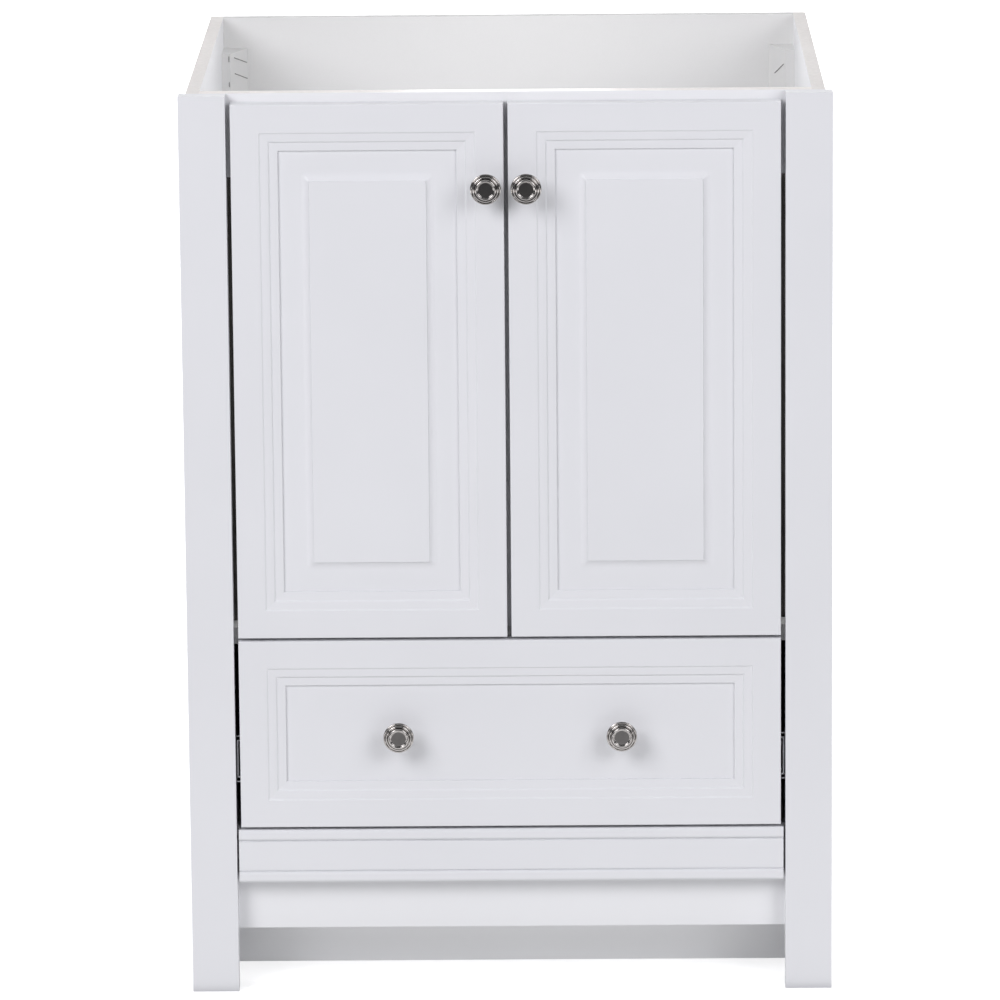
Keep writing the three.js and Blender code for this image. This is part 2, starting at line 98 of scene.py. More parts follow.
def add_lights():
    """Front softboxes, the left one stronger, low, overhead, side and rear lights, and bounces."""
    middle = (0, FRONT_Y, 0.45)
    cool = (0.975, 0.972, 1.0)
    softbox = (1.9, 1.9)
    low_box = (0.7, 0.4)
    rear_box = (1.2, 1.2)
    add_light("key", (-2.1, -2.9, 2.5), middle, softbox, 80, cool)
    add_light("fill", (2.2, -2.9, 2.2), middle, softbox, 53, cool)
    for label, side in SIDES.items():
        add_light(f"low_{label}", (side * 1.5, -2.3, 0.12), (0, FRONT_Y, 0.5), low_box, 3.5, cool)
    add_light("overhead", (0, 0.4, 3.0), (0, 0.1, 0), (2.2, 2.2), 15)
    # These lie behind the plane of the fronts, so they light the sides and the back but not the front.
    for label, side in SIDES.items():
        add_light(f"side_{label}", (side * 3.2, 0.6, 0.7), (0, 0.1, 0.45), rear_box, 24, cool)
        add_light(f"back_{label}", (side * 1.6, 3.2, 0.8), (0, 0.28, 0.45), rear_box, 26, cool)
    # An upward light on the floor stands in for the floor's own bounce.
    bounce_y = FRONT_Y - 1.255
    bounce = add_light("bounce", (0, bounce_y, 1 * MM), (0, bounce_y, 1), (4.0, 2.5), 15.5)
    bounce.visible_glossy = False
    toe_y = FRONT_Y + 30 * MM
    add_light("toe_bounce", (0, toe_y, 6 * MM), (0, toe_y + 0.1, 0.09), (0.5, 0.05), 0.087)
    add_light("backdrop", (0, 2.6, 3.4), (0, 4.6, 0.6), (5.0, 1.5), 110)
    # A soft lamp just above the open top lights the inside.
    lamp = bpy.data.lights.new("inside", "POINT")
    lamp.energy = 1.12
    lamp.shadow_soft_size = 0.12
    inside = bpy.data.objects.new("inside", lamp)
    bpy.context.scene.collection.objects.link(inside)
    inside.location = (0, -0.04, TOP_Z + 0.06)
    inside.visible_camera = False


def add_stage():
    """A pale floor that sweeps up into a backdrop well behind the cabinet."""
    half_width = 9.0
    near, bend, radius, top = -4.2, 3.6, 1.6, 5.0
    profile = [(near, 0.0)]
    steps = 24
    for i in range(steps + 1):
        angle = math.radians(90) * i / steps
        profile.append((bend + radius * math.sin(angle), radius * (1 - math.cos(angle))))
    profile.append((bend + radius, top))
    mesh = bmesh.new()
    rows = [[mesh.verts.new((x, y, z)) for x in (-half_width, half_width)] for y, z in profile]
    for low, high in zip(rows, rows[1:]):
        mesh.faces.new((low[0], low[1], high[1], high[0]))
    stage = finish_mesh(mesh, "stage", [stage_material()])
    # Its lit side faces the cabinet.
    stage.data.flip_normals()
    # The stage gives the cabinet no diffuse light, which would flatten the mouldings.
    stage.visible_diffuse = False
    # These cards on the floor show only in reflections, and give the knobs their dark flats.
    cards = (("near_card", -0.9, -2.2, 0.3), ("far_card", -2.2, -7.0, 0.26))
    for name, near_edge, far_edge, tone in cards:
        mesh = bmesh.new()
        corners = ((-1.5, far_edge), (1.5, far_edge), (1.5, near_edge), (-1.5, near_edge))
        mesh.faces.new([mesh.verts.new((x, y, 0.01)) for x, y in corners])
        card = finish_mesh(mesh, name, [card_material(name, tone)])
        card.visible_camera = False
        card.visible_diffuse = False
        card.visible_shadow = False


# ---- Materials ----

class Nodes:
    """A material's node tree, with its shader and a short way to add a node."""

    def __init__(self, name):
        self.material = bpy.data.materials.new(name)
        self.material.use_nodes = True
        self.tree = self.material.node_tree
        self.shader = self.tree.nodes["Principled BSDF"]

    def add(self, kind, **values):
        node = self.tree.nodes.new(kind)
        for key, value in values.items():
            setattr(node, key, value)
        return node

    def link(self, source, target):
        self.tree.links.new(source, target)

    def noise(self, scale, detail=2.0, stretch=(1, 1, 1)):
        """Noise in the object's own space: scale is in features per metre."""
        place = self.add("ShaderNodeTexCoord")
        mapping = self.add("ShaderNodeMapping")
        mapping.inputs["Scale"].default_value = stretch
        noise = self.add("ShaderNodeTexNoise")
        noise.inputs["Scale"].default_value = scale
        noise.inputs["Detail"].default_value = detail
        self.link(place.outputs["Object"], mapping.inputs["Vector"])
        self.link(mapping.outputs["Vector"], noise.inputs["Vector"])
        return noise.outputs["Fac"]

    def spread(self, source, low, high):
        """The noise's middle band stretched to the range low to high."""
        remap = self.add("ShaderNodeMapRange")
        remap.inputs["From Min"].default_value = 0.3
        remap.inputs["From Max"].default_value = 0.7
        remap.inputs["To Min"].default_value = low
        remap.inputs["To Max"].default_value = high
        self.link(source, remap.inputs["Value"])
        return remap.outputs["Result"]

    def blend(self, factor, first, second):
        mix = self.add("ShaderNodeMix", data_type="RGBA")
        mix.inputs["A"].default_value = (*first, 1)
        mix.inputs["B"].default_value = (*second, 1)
        self.link(factor, mix.inputs["Factor"])
        return mix.outputs["Result"]

    def bump(self, height, distance, strength=1.0):
        bump = self.add("ShaderNodeBump")
        bump.inputs["Distance"].default_value = distance
        bump.inputs["Strength"].default_value = strength
        self.link(height, bump.inputs["Height"])
        self.link(bump.outputs["Normal"], self.shader.inputs["Normal"])


def shade(colour, factor):
    return tuple(channel * factor for channel in colour)


def paint(name, colour, roughness, peel=0.02, mottle=0.012):
    """Sprayed satin paint: faint orange peel, and a tint and gloss that drift a little."""
    nodes = Nodes(name)
    drift = nodes.spread(nodes.noise(4.0), 0, 1)
    nodes.link(
        nodes.blend(drift, shade(colour, 1 - mottle), shade(colour, 1 + mottle)),
        nodes.shader.inputs["Base Color"],
    )
    gloss = nodes.spread(nodes.noise(30.0, 4.0), roughness - 0.04, roughness + 0.05)
    nodes.link(gloss, nodes.shader.inputs["Roughness"])
    nodes.bump(nodes.noise(700.0, 3.0), peel * MM)
    nodes.shader.inputs["Specular IOR Level"].default_value = 0.42
    return nodes.material


def board_paint(name, colour, edge_and_shade_colour, roughness):
    """Painted board whose upward top faces take a second colour: the warmer tone of the cut face, with
    its brightness painted in to suit the light from above.
    """
    nodes = Nodes(name)
    normal = nodes.add("ShaderNodeNewGeometry").outputs["True Normal"]
    place = nodes.add("ShaderNodeNewGeometry").outputs["Position"]
    up = nodes.add("ShaderNodeSeparateXYZ")
    nodes.link(normal, up.inputs["Vector"])
    height = nodes.add("ShaderNodeSeparateXYZ")
    nodes.link(place, height.inputs["Vector"])
    facing = nodes.add("ShaderNodeMath", operation="GREATER_THAN")
    facing.inputs[1].default_value = 0.9
    nodes.link(up.outputs["Z"], facing.inputs[0])
    at_top = nodes.add("ShaderNodeMath", operation="GREATER_THAN")
    at_top.inputs[1].default_value = TOP_Z - 2 * MM
    nodes.link(height.outputs["Z"], at_top.inputs[0])
    edge = nodes.add("ShaderNodeMath", operation="MULTIPLY")
    nodes.link(facing.outputs["Value"], edge.inputs[0])
    nodes.link(at_top.outputs["Value"], edge.inputs[1])
    # The top faces' colour: the cut face's warm tone, with its brightness set as painted light and shade.
    fine_mottle = nodes.spread(nodes.noise(260.0, 6.0), 0.0, 1.0)
    edge_tone = nodes.blend(fine_mottle, shade(edge_and_shade_colour, 0.95), shade(edge_and_shade_colour, 1.04))
    drift = nodes.spread(nodes.noise(5.0), 0, 1)
    face = nodes.blend(drift, shade(colour, 0.985), shade(colour, 1.015))
    mix = nodes.add("ShaderNodeMix", data_type="RGBA")
    nodes.link(edge.outputs["Value"], mix.inputs["Factor"])
    nodes.link(face, mix.inputs["A"])
    nodes.link(edge_tone, mix.inputs["B"])
    nodes.link(mix.outputs["Result"], nodes.shader.inputs["Base Color"])
    gloss = nodes.spread(nodes.noise(40.0, 4.0), roughness - 0.05, roughness + 0.06)
    nodes.link(gloss, nodes.shader.inputs["Roughness"])
    nodes.bump(nodes.noise(600.0, 3.0), 0.02 * MM)
    nodes.shader.inputs["Specular IOR Level"].default_value = 0.4
    return nodes.material


def melamine(name, colour):
    """Factory-laminated board: an even white with a fine pebbled surface."""
    nodes = Nodes(name)
    speck = nodes.spread(nodes.noise(1500.0, 3.0), 0, 1)
    nodes.link(
        nodes.blend(speck, shade(colour, 0.985), shade(colour, 1.01)),
        nodes.shader.inputs["Base Color"],
    )
    gloss = nodes.spread(nodes.noise(60.0, 3.0), 0.5, 0.62)
    nodes.link(gloss, nodes.shader.inputs["Roughness"])
    nodes.bump(nodes.noise(1300.0, 2.0), 0.03 * MM)
    return nodes.material


def melamine_with_shaded_front(name, colour, front_shade_colour):
    """Laminated board whose front-facing faces are painted near black: a painted shade for the deep gaps
    beside the doors.
    """
    nodes = Nodes(name)
    normal = nodes.add("ShaderNodeNewGeometry").outputs["True Normal"]
    facing = nodes.add("ShaderNodeSeparateXYZ")
    nodes.link(normal, facing.inputs["Vector"])
    front = nodes.add("ShaderNodeMath", operation="LESS_THAN")
    front.inputs[1].default_value = -0.7
    nodes.link(facing.outputs["Y"], front.inputs[0])
    fine_mottle = nodes.spread(nodes.noise(900.0, 5.0), 0, 1)
    mix = nodes.add("ShaderNodeMix", data_type="RGBA")
    nodes.link(front.outputs["Value"], mix.inputs["Factor"])
    nodes.link(nodes.blend(fine_mottle, shade(colour, 0.985), shade(colour, 1.01)), mix.inputs["A"])
    nodes.link(nodes.blend(fine_mottle, shade(front_shade_colour, 0.8), shade(front_shade_colour, 1.2)), mix.inputs["B"])
    nodes.link(mix.outputs["Result"], nodes.shader.inputs["Base Color"])
    nodes.shader.inputs["Roughness"].default_value = 0.6
    return nodes.material


def polished_metal(name, colour, roughness):
    """Plated metal: a mirror with a faint waviness and a few dull patches."""
    nodes = Nodes(name)
    nodes.shader.inputs["Metallic"].default_value = 1.0
    drift = nodes.spread(nodes.noise(120.0, 2.0), 0, 1)
    nodes.link(
        nodes.blend(drift, shade(colour, 0.94), shade(colour, 1.03)),
        nodes.shader.inputs["Base Color"],
    )
    gloss = nodes.spread(nodes.noise(260.0, 5.0), roughness * 0.7, roughness * 1.6)
    nodes.link(gloss, nodes.shader.inputs["Roughness"])
    nodes.bump(nodes.noise(350.0, 1.0), 0.004 * MM)
    return nodes.material


def rolled_steel(name, colour, roughness, stretch):
    """Zinc-plated sheet with rolling marks drawn out along one axis."""
    nodes = Nodes(name)
    nodes.shader.inputs["Metallic"].default_value = 1.0
    marks = nodes.noise(900.0, 4.0, stretch)
    tone = nodes.spread(marks, 0, 1)
    nodes.link(
        nodes.blend(tone, shade(colour, 0.84), shade(colour, 1.06)),
        nodes.shader.inputs["Base Color"],
    )
    gloss = nodes.spread(nodes.noise(90.0, 4.0, stretch), roughness - 0.08, roughness + 0.1)
    nodes.link(gloss, nodes.shader.inputs["Roughness"])
    nodes.bump(marks, 0.01 * MM)
    return nodes.material


def clear_rubber(name):
    """The soft, milky clear plastic of a stick-on bumper."""
    nodes = Nodes(name)
    haze = nodes.spread(nodes.noise(500.0, 3.0), 0, 1)
    nodes.link(
        nodes.blend(haze, (0.74, 0.75, 0.75), (0.84, 0.85, 0.85)),
        nodes.shader.inputs["Base Color"],
    )
    nodes.shader.inputs["Roughness"].default_value = 0.22
    nodes.shader.inputs["Transmission Weight"].default_value = 0.45
    nodes.bump(nodes.noise(400.0), 0.02 * MM)
    return nodes.material


def stage_material():
    """White floor and backdrop that glow to pure white far off, and are clear from behind."""
    near_glow = 0.58
    nodes = Nodes("stage_white")
    drift = nodes.spread(nodes.noise(0.6), 0, 1)
    nodes.link(
        nodes.blend(drift, (0.86, 0.86, 0.86), (0.9, 0.9, 0.9)),
        nodes.shader.inputs["Base Color"],
    )
    nodes.shader.inputs["Roughness"].default_value = 0.8
    nodes.shader.inputs["Emission Color"].default_value = (1, 1, 1, 1)
    geometry = nodes.add("ShaderNodeNewGeometry")
    distance = nodes.add("ShaderNodeVectorMath", operation="LENGTH")
    nodes.link(geometry.outputs["Position"], distance.inputs[0])
    extra = nodes.add("ShaderNodeMapRange")
    extra.inputs["From Min"].default_value = 1.5
    extra.inputs["From Max"].default_value = 4.0
    extra.inputs["To Max"].default_value = 1 - near_glow
    nodes.link(distance.outputs["Value"], extra.inputs["Value"])
    glow = nodes.add("ShaderNodeMath", operation="MULTIPLY_ADD")
    glow.inputs[2].default_value = near_glow
    nodes.link(nodes.add("ShaderNodeLightPath").outputs["Is Camera Ray"], glow.inputs[0])
    nodes.link(extra.outputs["Result"], glow.inputs[1])
    nodes.link(glow.outputs["Value"], nodes.shader.inputs["Emission Strength"])
    one_sided = nodes.add("ShaderNodeMixShader")
    nodes.link(geometry.outputs["Backfacing"], one_sided.inputs[0])
    nodes.link(nodes.shader.outputs["BSDF"], one_sided.inputs[1])
    nodes.link(nodes.add("ShaderNodeBsdfTransparent").outputs["BSDF"], one_sided.inputs[2])
    nodes.link(one_sided.outputs["Shader"], nodes.tree.nodes["Material Output"].inputs["Surface"])
    return nodes.material


def card_material(name, tone):
    nodes = Nodes(name)
    nap = nodes.spread(nodes.noise(40.0), 0, 1)
    nodes.link(
        nodes.blend(nap, (tone * 0.8,) * 3, (tone * 1.2,) * 3),
        nodes.shader.inputs["Base Color"],
    )
    nodes.shader.inputs["Roughness"].default_value = 0.9
    return nodes.material


def make_materials():
    front = (0.802, 0.803, 0.828)
    case = (0.84, 0.84, 0.855)
    # The cut edge's warm tone, made darker than the case paint as painted shade on the top edges under
    # the overhead light.
    cut_edge_with_shade = (0.785, 0.75, 0.727)
    along_y = (1, 0.02, 1)
    return {
        "white_front": paint("white_front_paint", front, 0.4),
        "white_case": board_paint("white_case_paint", case, cut_edge_with_shade, 0.45),
        "white_inside": melamine("white_melamine", (0.72, 0.716, 0.71)),
        # The top rail's paint is the case paint made lighter, and so is its top edge: a painted highlight
        # that brightens the rail above the doors.
        "rail": board_paint("top_rail_lightened_paint", (0.87, 0.87, 0.885), shade(cut_edge_with_shade, 1.12), 0.45),
        "nickel": polished_metal("polished_nickel", (0.45, 0.43, 0.415), 0.05),
        "screw_steel": rolled_steel("zinc_screw", (0.55, 0.55, 0.56), 0.3, (1, 1, 1)),
        "hinge_steel": polished_metal("nickel_plated_steel", (0.62, 0.61, 0.60), 0.16),
        "slide_steel": rolled_steel("zinc_plated_steel", (0.58, 0.59, 0.61), 0.34, along_y),
        # Near-black front faces on the cleats and spacers: painted shade seen through the gaps beside the
        # doors.
        "cleat": melamine_with_shaded_front("melamine_painted_shade_front", (0.845, 0.84, 0.83), (0.055, 0.05, 0.045)),
        "staple": rolled_steel("staple_wire", (0.3, 0.29, 0.28), 0.4, (1, 1, 1)),
        "bumper": clear_rubber("clear_bumper"),
    }


# ---- Mesh helpers ----

def finish_mesh(mesh, name, materials, smooth_angle=None):
    """Turns a bmesh into an object with outward faces, smooth below the given angle."""
    bmesh.ops.recalc_face_normals(mesh, faces=mesh.faces)
    data = bpy.data.meshes.new(name)
    mesh.to_mesh(data)
    mesh.free()
    for material in materials:
        data.materials.append(material)
    piece = bpy.data.objects.new(name, data)
    bpy.context.scene.collection.objects.link(piece)
    if smooth_angle is not None:
        data.shade_smooth()
        data.set_sharp_from_angle(angle=math.radians(smooth_angle))
    return piece


def settle(piece, body, replaced=()):
    """Hands a finished piece to the frame: its body and what it stands for."""
    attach(piece, body)
    if replaced:
        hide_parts(*replaced)
    return piece


def flatten_shading(piece):
    """Smooth shading that leaves the large flat faces flat."""
    piece.data.shade_smooth()
    piece.data.set_sharp_from_angle(angle=math.radians(38))
    modifier = piece.modifiers.new("flat_faces", "WEIGHTED_NORMAL")
    modifier.keep_sharp = True
    modifier.weight = 100


def bevel(piece, width, segments=3, angle=40):
    modifier = piece.modifiers.new("eased_edges", "BEVEL")
    modifier.width = width
    modifier.segments = segments
    modifier.limit_method = "ANGLE"
    modifier.angle_limit = math.radians(angle)
    modifier.harden_normals = True
    return piece


def arc(centre, radius, start, end, steps=8):
    """Points of an arc in a profile, by angle in degrees from the radius axis."""
    points = []
    for i in range(steps + 1):
        angle = math.radians(start + (end - start) * i / steps)
        points.append((centre[0] + radius * math.cos(angle), centre[1] + radius * math.sin(angle)))
    return points


# ---- Framed fronts ----

FLAT = 27 * MM
STEP = 8.5 * MM
BAR = 44 * MM
STEP_DROP = 1.2 * MM
SECOND_DROP = 1.5 * MM
STEP_FALL = 0.5 * MM
FIELD = 6 * MM
THICK = 18 * MM
MITRE_GAP = 0.006 * MM


def ogee(start, depth, drop, run, steps=6):
    """A soft step: points that fall by drop over run, flat at both ends."""
    points = []
    for i in range(steps + 1):
        t = i / steps
        points.append((start + run * t, depth + drop * (1 - math.cos(math.pi * t)) / 2))
    return points


def bar_section():
    """Frame bar's section as (inward from the outer edge, depth behind the front)."""
    ease = 0.9 * MM
    run = 2.2 * MM
    second = STEP_DROP + STEP_FALL
    lip = second + SECOND_DROP + STEP_FALL
    groove, groove_front, groove_back = 40 * MM, FIELD - 0.1 * MM, 2 * FIELD + 0.1 * MM
    points = arc((ease, THICK - ease), ease, 90, 180, 4)
    points += arc((ease, ease), ease, 180, 270, 4)
    points += ogee(FLAT - run / 2, 0, STEP_DROP, run)
    points += ogee(FLAT + STEP - run / 2, second, SECOND_DROP, run)
    points += [(BAR - 0.8 * MM, lip), (BAR - 0.2 * MM, lip + 0.25 * MM), (BAR, lip + 0.8 * MM)]
    points += [(BAR, groove_front), (groove, groove_front), (groove, groove_back)]
    return points + [(BAR, groove_back), (BAR, THICK)]


def make_bar(name, centre, length, inward, body, materials, node, bores=()):
    """One mitred bar whose outer edge runs through centre. Inward points to the panel."""
    along = Vector((-inward.z, 0, inward.x))
    mesh = bmesh.new()
    section = bar_section()
    ends = []
    for end in (-1, 1):
        ring = []
        for across, depth in section:
            reach = length / 2 - MITRE_GAP - across
            place = centre + along * end * reach + inward * across + Vector((0, depth, 0))
            ring.append(mesh.verts.new(place))
        ends.append(ring)
        mesh.faces.new(ring)
    count = len(section)
    for i in range(count):
        j = (i + 1) % count
        mesh.faces.new((ends[0][i], ends[0][j], ends[1][j], ends[1][i]))
    piece = finish_mesh(mesh, name, [materials["white_front"]])
    for bore in bores:
        cut_hole(piece, bore)
    flatten_shading(piece)
    return settle(piece, body, [node])


def cut_hole(piece, bore):
    """Bores a round hole along Y, given as (x, z, radius, low y, high y)."""
    x, z, radius, low, high = bore
    mesh = bmesh.new()
    bmesh.ops.create_cone(
        mesh, cap_ends=True, segments=48, radius1=radius, radius2=radius, depth=high - low,
        matrix=Matrix.Translation((x, (low + high) / 2, z)) @ Matrix.Rotation(math.pi / 2, 4, "X"),
    )
    cutter = finish_mesh(mesh, "cutter", [])
    modifier = piece.modifiers.new("bore", "BOOLEAN")
    modifier.object = cutter
    modifier.operation = "DIFFERENCE"
    modifier.solver = "EXACT"
    apply_modifiers(piece)
    bpy.data.objects.remove(cutter)


def apply_modifiers(piece):
    bpy.context.view_layer.update()
    evaluated = piece.evaluated_get(bpy.context.evaluated_depsgraph_get())
    data = bpy.data.meshes.new_from_object(evaluated)
    old = piece.data
    piece.modifiers.clear()
    piece.data = data
    bpy.data.meshes.remove(old)


def panel_ring(mesh, centre, half_x, half_z, inset, depth, corner, steps=6):
    """One rounded-rectangle ring of vertices, inset from the front's outer edge."""
    ring = []
    x, z = half_x - inset, half_z - inset
    for sign_x, sign_z, start in ((1, 1, 0), (-1, 1, 90), (-1, -1, 180), (1, -1, 270)):
        for step in range(steps + 1):
            angle = math.radians(start + 90 * step / steps)
            px = sign_x * (x - corner) + corner * math.cos(angle)
            pz = sign_z * (z - corner) + corner * math.sin(angle)
            ring.append(mesh.verts.new(centre + Vector((px, depth, pz))))
    return ring


def make_panel(name, low, high, rings, body, materials, node, holes=()):
    """The panel in a frame's groove, as a stack of rings (inset, depth, corner radius)."""
    centre = Vector(((low.x + high.x) / 2, FRONT_Y, (low.z + high.z) / 2))
    half_x, half_z = (high.x - low.x) / 2, (high.z - low.z) / 2
    mesh = bmesh.new()
    stack = [panel_ring(mesh, centre, half_x, half_z, *ring) for ring in rings]
    count = len(stack[0])
    for first, second in zip(stack, stack[1:]):
        for i in range(count):
            j = (i + 1) % count
            mesh.faces.new((first[i], first[j], second[j], second[i]))
    mesh.faces.new(stack[0])
    mesh.faces.new(stack[-1])
    piece = finish_mesh(mesh, name, [materials["white_front"]])
    for hole in holes:
        cut_hole(piece, hole)
    flatten_shading(piece)
    return settle(piece, body, [node])


def flat_rings():
    tongue = 40.4 * MM
    return [(tongue, 2 * FIELD, 0.2 * MM), (tongue, FIELD, 0.2 * MM)]


def raised_rings():
    """The raised field: a cove up from a round-cornered foot, a small step, and a flat."""
    rings = flat_rings()
    foot, top = 64.5 * MM, 72.4 * MM
    rise = 2.9 * MM
    steps = 6
    for i in range(steps + 1):
        t = i / steps
        inset = foot + (top - foot) * t
        depth = FIELD - rise * (1 - math.cos(t * math.pi / 2))
        rings.append((inset, depth, (5.0 - 4.0 * t) * MM))
    step_top = FIELD - rise - 1.2 * MM
    rings.append((top + 0.35 * MM, step_top + 0.15 * MM, 0.7 * MM))
    rings.append((top + 0.7 * MM, step_top, 0.5 * MM))
    return rings


def screw_hole(x, z):
    return (x, z, 2.4 * MM, FRONT_Y - 2 * MM, FRONT_Y + 40 * MM)


def make_front(prefix, bars, rings, body, materials, holes):
    """Rebuilds a framed front from its CAD nodes: bars maps a node to its inward direction."""
    boxes = [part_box(f"{prefix}_{bar}") for bar in bars]
    low = Vector([min(b[0][i] for b in boxes) for i in range(3)])
    high = Vector([max(b[1][i] for b in boxes) for i in range(3)])
    centre = (low + high) / 2
    for bar, (ix, iz) in bars.items():
        inward = Vector((ix, 0, iz))
        edge = Vector((low.x if ix > 0 else high.x if ix < 0 else centre.x, FRONT_Y,
                       low.z if iz > 0 else high.z if iz < 0 else centre.z))
        length = (high.z - low.z) if ix else (high.x - low.x)
        node = f"{prefix}_{bar}"
        make_bar(f"{node}_moulded", edge, length, inward, body, materials, node, holes.get(bar, ()))
    make_panel(f"{prefix}_panel_moulded", low, high, rings, body, materials, f"{prefix}_panel",
               holes.get("panel", ()))


def middle_of(node):
    low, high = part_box(node)
    return (low + high) / 2


def make_fronts(materials):
    for label, side in SIDES.items():
        prefix = f"{label}_door"
        bars = {
            "bottom_rail": (0, 1),
            "top_rail": (0, -1),
            "hinge_stile": (-side, 0),
            "meeting_stile": (side, 0),
        }
        knob = middle_of(f"{prefix}_knob")
        bores = []
        for level in LEVELS:
            cup_low, cup_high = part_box(f"{prefix}_{level}_hinge_cup")
            cup = (cup_low + cup_high) / 2
            bores.append((cup.x, cup.z, 17.8 * MM, cup_low.y - 0.3 * MM, FRONT_Y + THICK + 5 * MM))
        holes = {"hinge_stile": bores, "meeting_stile": [screw_hole(knob.x, knob.z)]}
        make_front(prefix, bars, raised_rings(), prefix, materials, holes)
    bars = {
        "bottom_rail": (0, 1),
        "top_rail": (0, -1),
        "left_stile": (1, 0),
        "right_stile": (-1, 0),
    }
    knobs = [middle_of(f"drawer_{label}_knob") for label in SIDES]
    holes = {"panel": [screw_hole(knob.x, knob.z) for knob in knobs]}
    make_front("drawer_front", bars, flat_rings(), "drawer", materials, holes)


# ---- Knobs and screws ----

def spin(name, profile, place, materials, segments=96, smooth_angle=35):
    """A turned piece: profile is (radius, distance out of the front), spun about Y."""
    mesh = bmesh.new()
    rings = []
    for radius, out in profile:
        if radius < 1e-7:
            rings.append([mesh.verts.new((0, -out, 0))])
            continue
        ring = []
        for i in range(segments):
            angle = 2 * math.pi * i / segments
            ring.append(mesh.verts.new((radius * math.cos(angle), -out, radius * math.sin(angle))))
        rings.append(ring)
    for first, second in zip(rings, rings[1:]):
        for i in range(segments):
            j = (i + 1) % segments
            a, b = first[i % len(first)], first[j % len(first)]
            c, d = second[j % len(second)], second[i % len(second)]
            corners = list(dict.fromkeys((a, b, c, d)))
            mesh.faces.new(corners)
    bmesh.ops.translate(mesh, verts=mesh.verts, vec=place)
    return finish_mesh(mesh, name, materials, smooth_angle)


def knob_profile():
    """A stepped round knob in millimetres: rose, waisted neck, three beads and a flat disc."""
    points = [(0, 10), (2.3, 10), (2.3, 0), (7.2, 0)]
    points += arc((6.9, 0.9), 0.55, -60, 80, 5)
    points += [(6.0, 1.7), (5.5, 2.3), (5.1, 3.4), (4.9, 5.5), (5.0, 8.0), (5.6, 10.4), (7.0, 12.8)]
    points += [(9.2, 15.2), (11.4, 17.2), (13.0, 18.8)]
    points += arc((13.35, 20.4), 1.15, -60, 140, 14)
    points += arc((11.05, 21.9), 1.15, 15, 140, 12)
    points += arc((8.6, 24.8), 1.15, -15, 175, 16)
    points += [(7.3, 24.75), (7.15, 24.65), (6.9, 24.6), (6.5, 24.6), (0, 24.6)]
    return [(radius * MM, out * MM) for radius, out in points]


def make_knobs(materials):
    homes = {f"{label}_door": f"{label}_door" for label in SIDES}
    homes.update({f"drawer_{label}": "drawer" for label in SIDES})
    for prefix, body in homes.items():
        node = f"{prefix}_knob"
        low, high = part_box(node)
        place = Vector(((low.x + high.x) / 2, high.y, (low.z + high.z) / 2))
        knob = spin(f"{node}_turned", knob_profile(), place, [materials["nickel"]])
        flatten_shading(knob)
        settle(knob, body, [node])


# ---- Small hardware ----

def cross_head(materials):
    """A pan head of 3.5 mm radius with a cross recess, its underside at z = 0 and its top at +Z."""
    profile = [(0, 1.9), (1.2, 1.85), (2.3, 1.55), (3.0, 1.05), (3.4, 0.4), (3.5, -0.3), (0, -0.3)]
    profile = [(radius * MM, -height * MM) for radius, height in profile]
    head = spin("head", profile, Vector((0, 0, 0)), [materials["screw_steel"]], 24)
    half, reach = 0.32 * MM, 1.9 * MM
    outline = [
        (half, reach), (-half, reach), (-half, half), (-reach, half), (-reach, -half), (-half, -half),
        (-half, -reach), (half, -reach), (half, -half), (reach, -half), (reach, half), (half, half),
    ]
    mesh = bmesh.new()
    layers = [[mesh.verts.new((x, y, z)) for x, z in outline] for y in (0.7 * MM, 3 * MM)]
    for layer in layers:
        mesh.faces.new(layer)
    for i in range(len(outline)):
        j = (i + 1) % len(outline)
        mesh.faces.new((layers[0][i], layers[0][j], layers[1][j], layers[1][i]))
    cutter = finish_mesh(mesh, "cutter", [])
    modifier = head.modifiers.new("recess", "BOOLEAN")
    modifier.object = cutter
    modifier.solver = "EXACT"
    apply_modifiers(head)
    bpy.data.objects.remove(cutter)
    template = head.data.copy()
    bpy.data.objects.remove(head)
    return template


def add_heads(name, template, spots, body, materials, scale=1.0, sink=0.0):
    """Screw heads on a face: each spot is a point on the face and the direction out of it."""
    mesh = bmesh.new()
    for count, (place, out) in enumerate(spots):
        first = len(mesh.verts)
        mesh.from_mesh(template)
        mesh.verts.ensure_lookup_table()
        turn = Vector((0, 1, 0)).rotation_difference(out)
        turn = turn.to_matrix().to_4x4() @ Matrix.Rotation(0.5 + count, 4, "Y")
        move = Matrix.Translation(place - out * sink) @ turn @ Matrix.Scale(scale, 4)
        bmesh.ops.transform(mesh, matrix=move, verts=mesh.verts[first:])
    piece = finish_mesh(mesh, name, [materials["screw_steel"]], 35)
    return settle(piece, body)


def add_rods(name, rods, radius, body, material):
    """Round-ended wires, each lying between two points."""
    mesh = bmesh.new()
    for start, end in rods:
        along = end - start
        turn = Vector((0, 0, 1)).rotation_difference(along).to_matrix().to_4x4()
        middle = Matrix.Translation((start + end) / 2) @ turn
        bmesh.ops.create_cone(mesh, cap_ends=True, segments=16, radius1=radius, radius2=radius,
                              depth=along.length, matrix=middle)
        for tip in (start, end):
            bmesh.ops.create_uvsphere(mesh, u_segments=16, v_segments=8, radius=radius,
                                      matrix=Matrix.Translation(tip))
    return settle(finish_mesh(mesh, name, [material], 40), body)


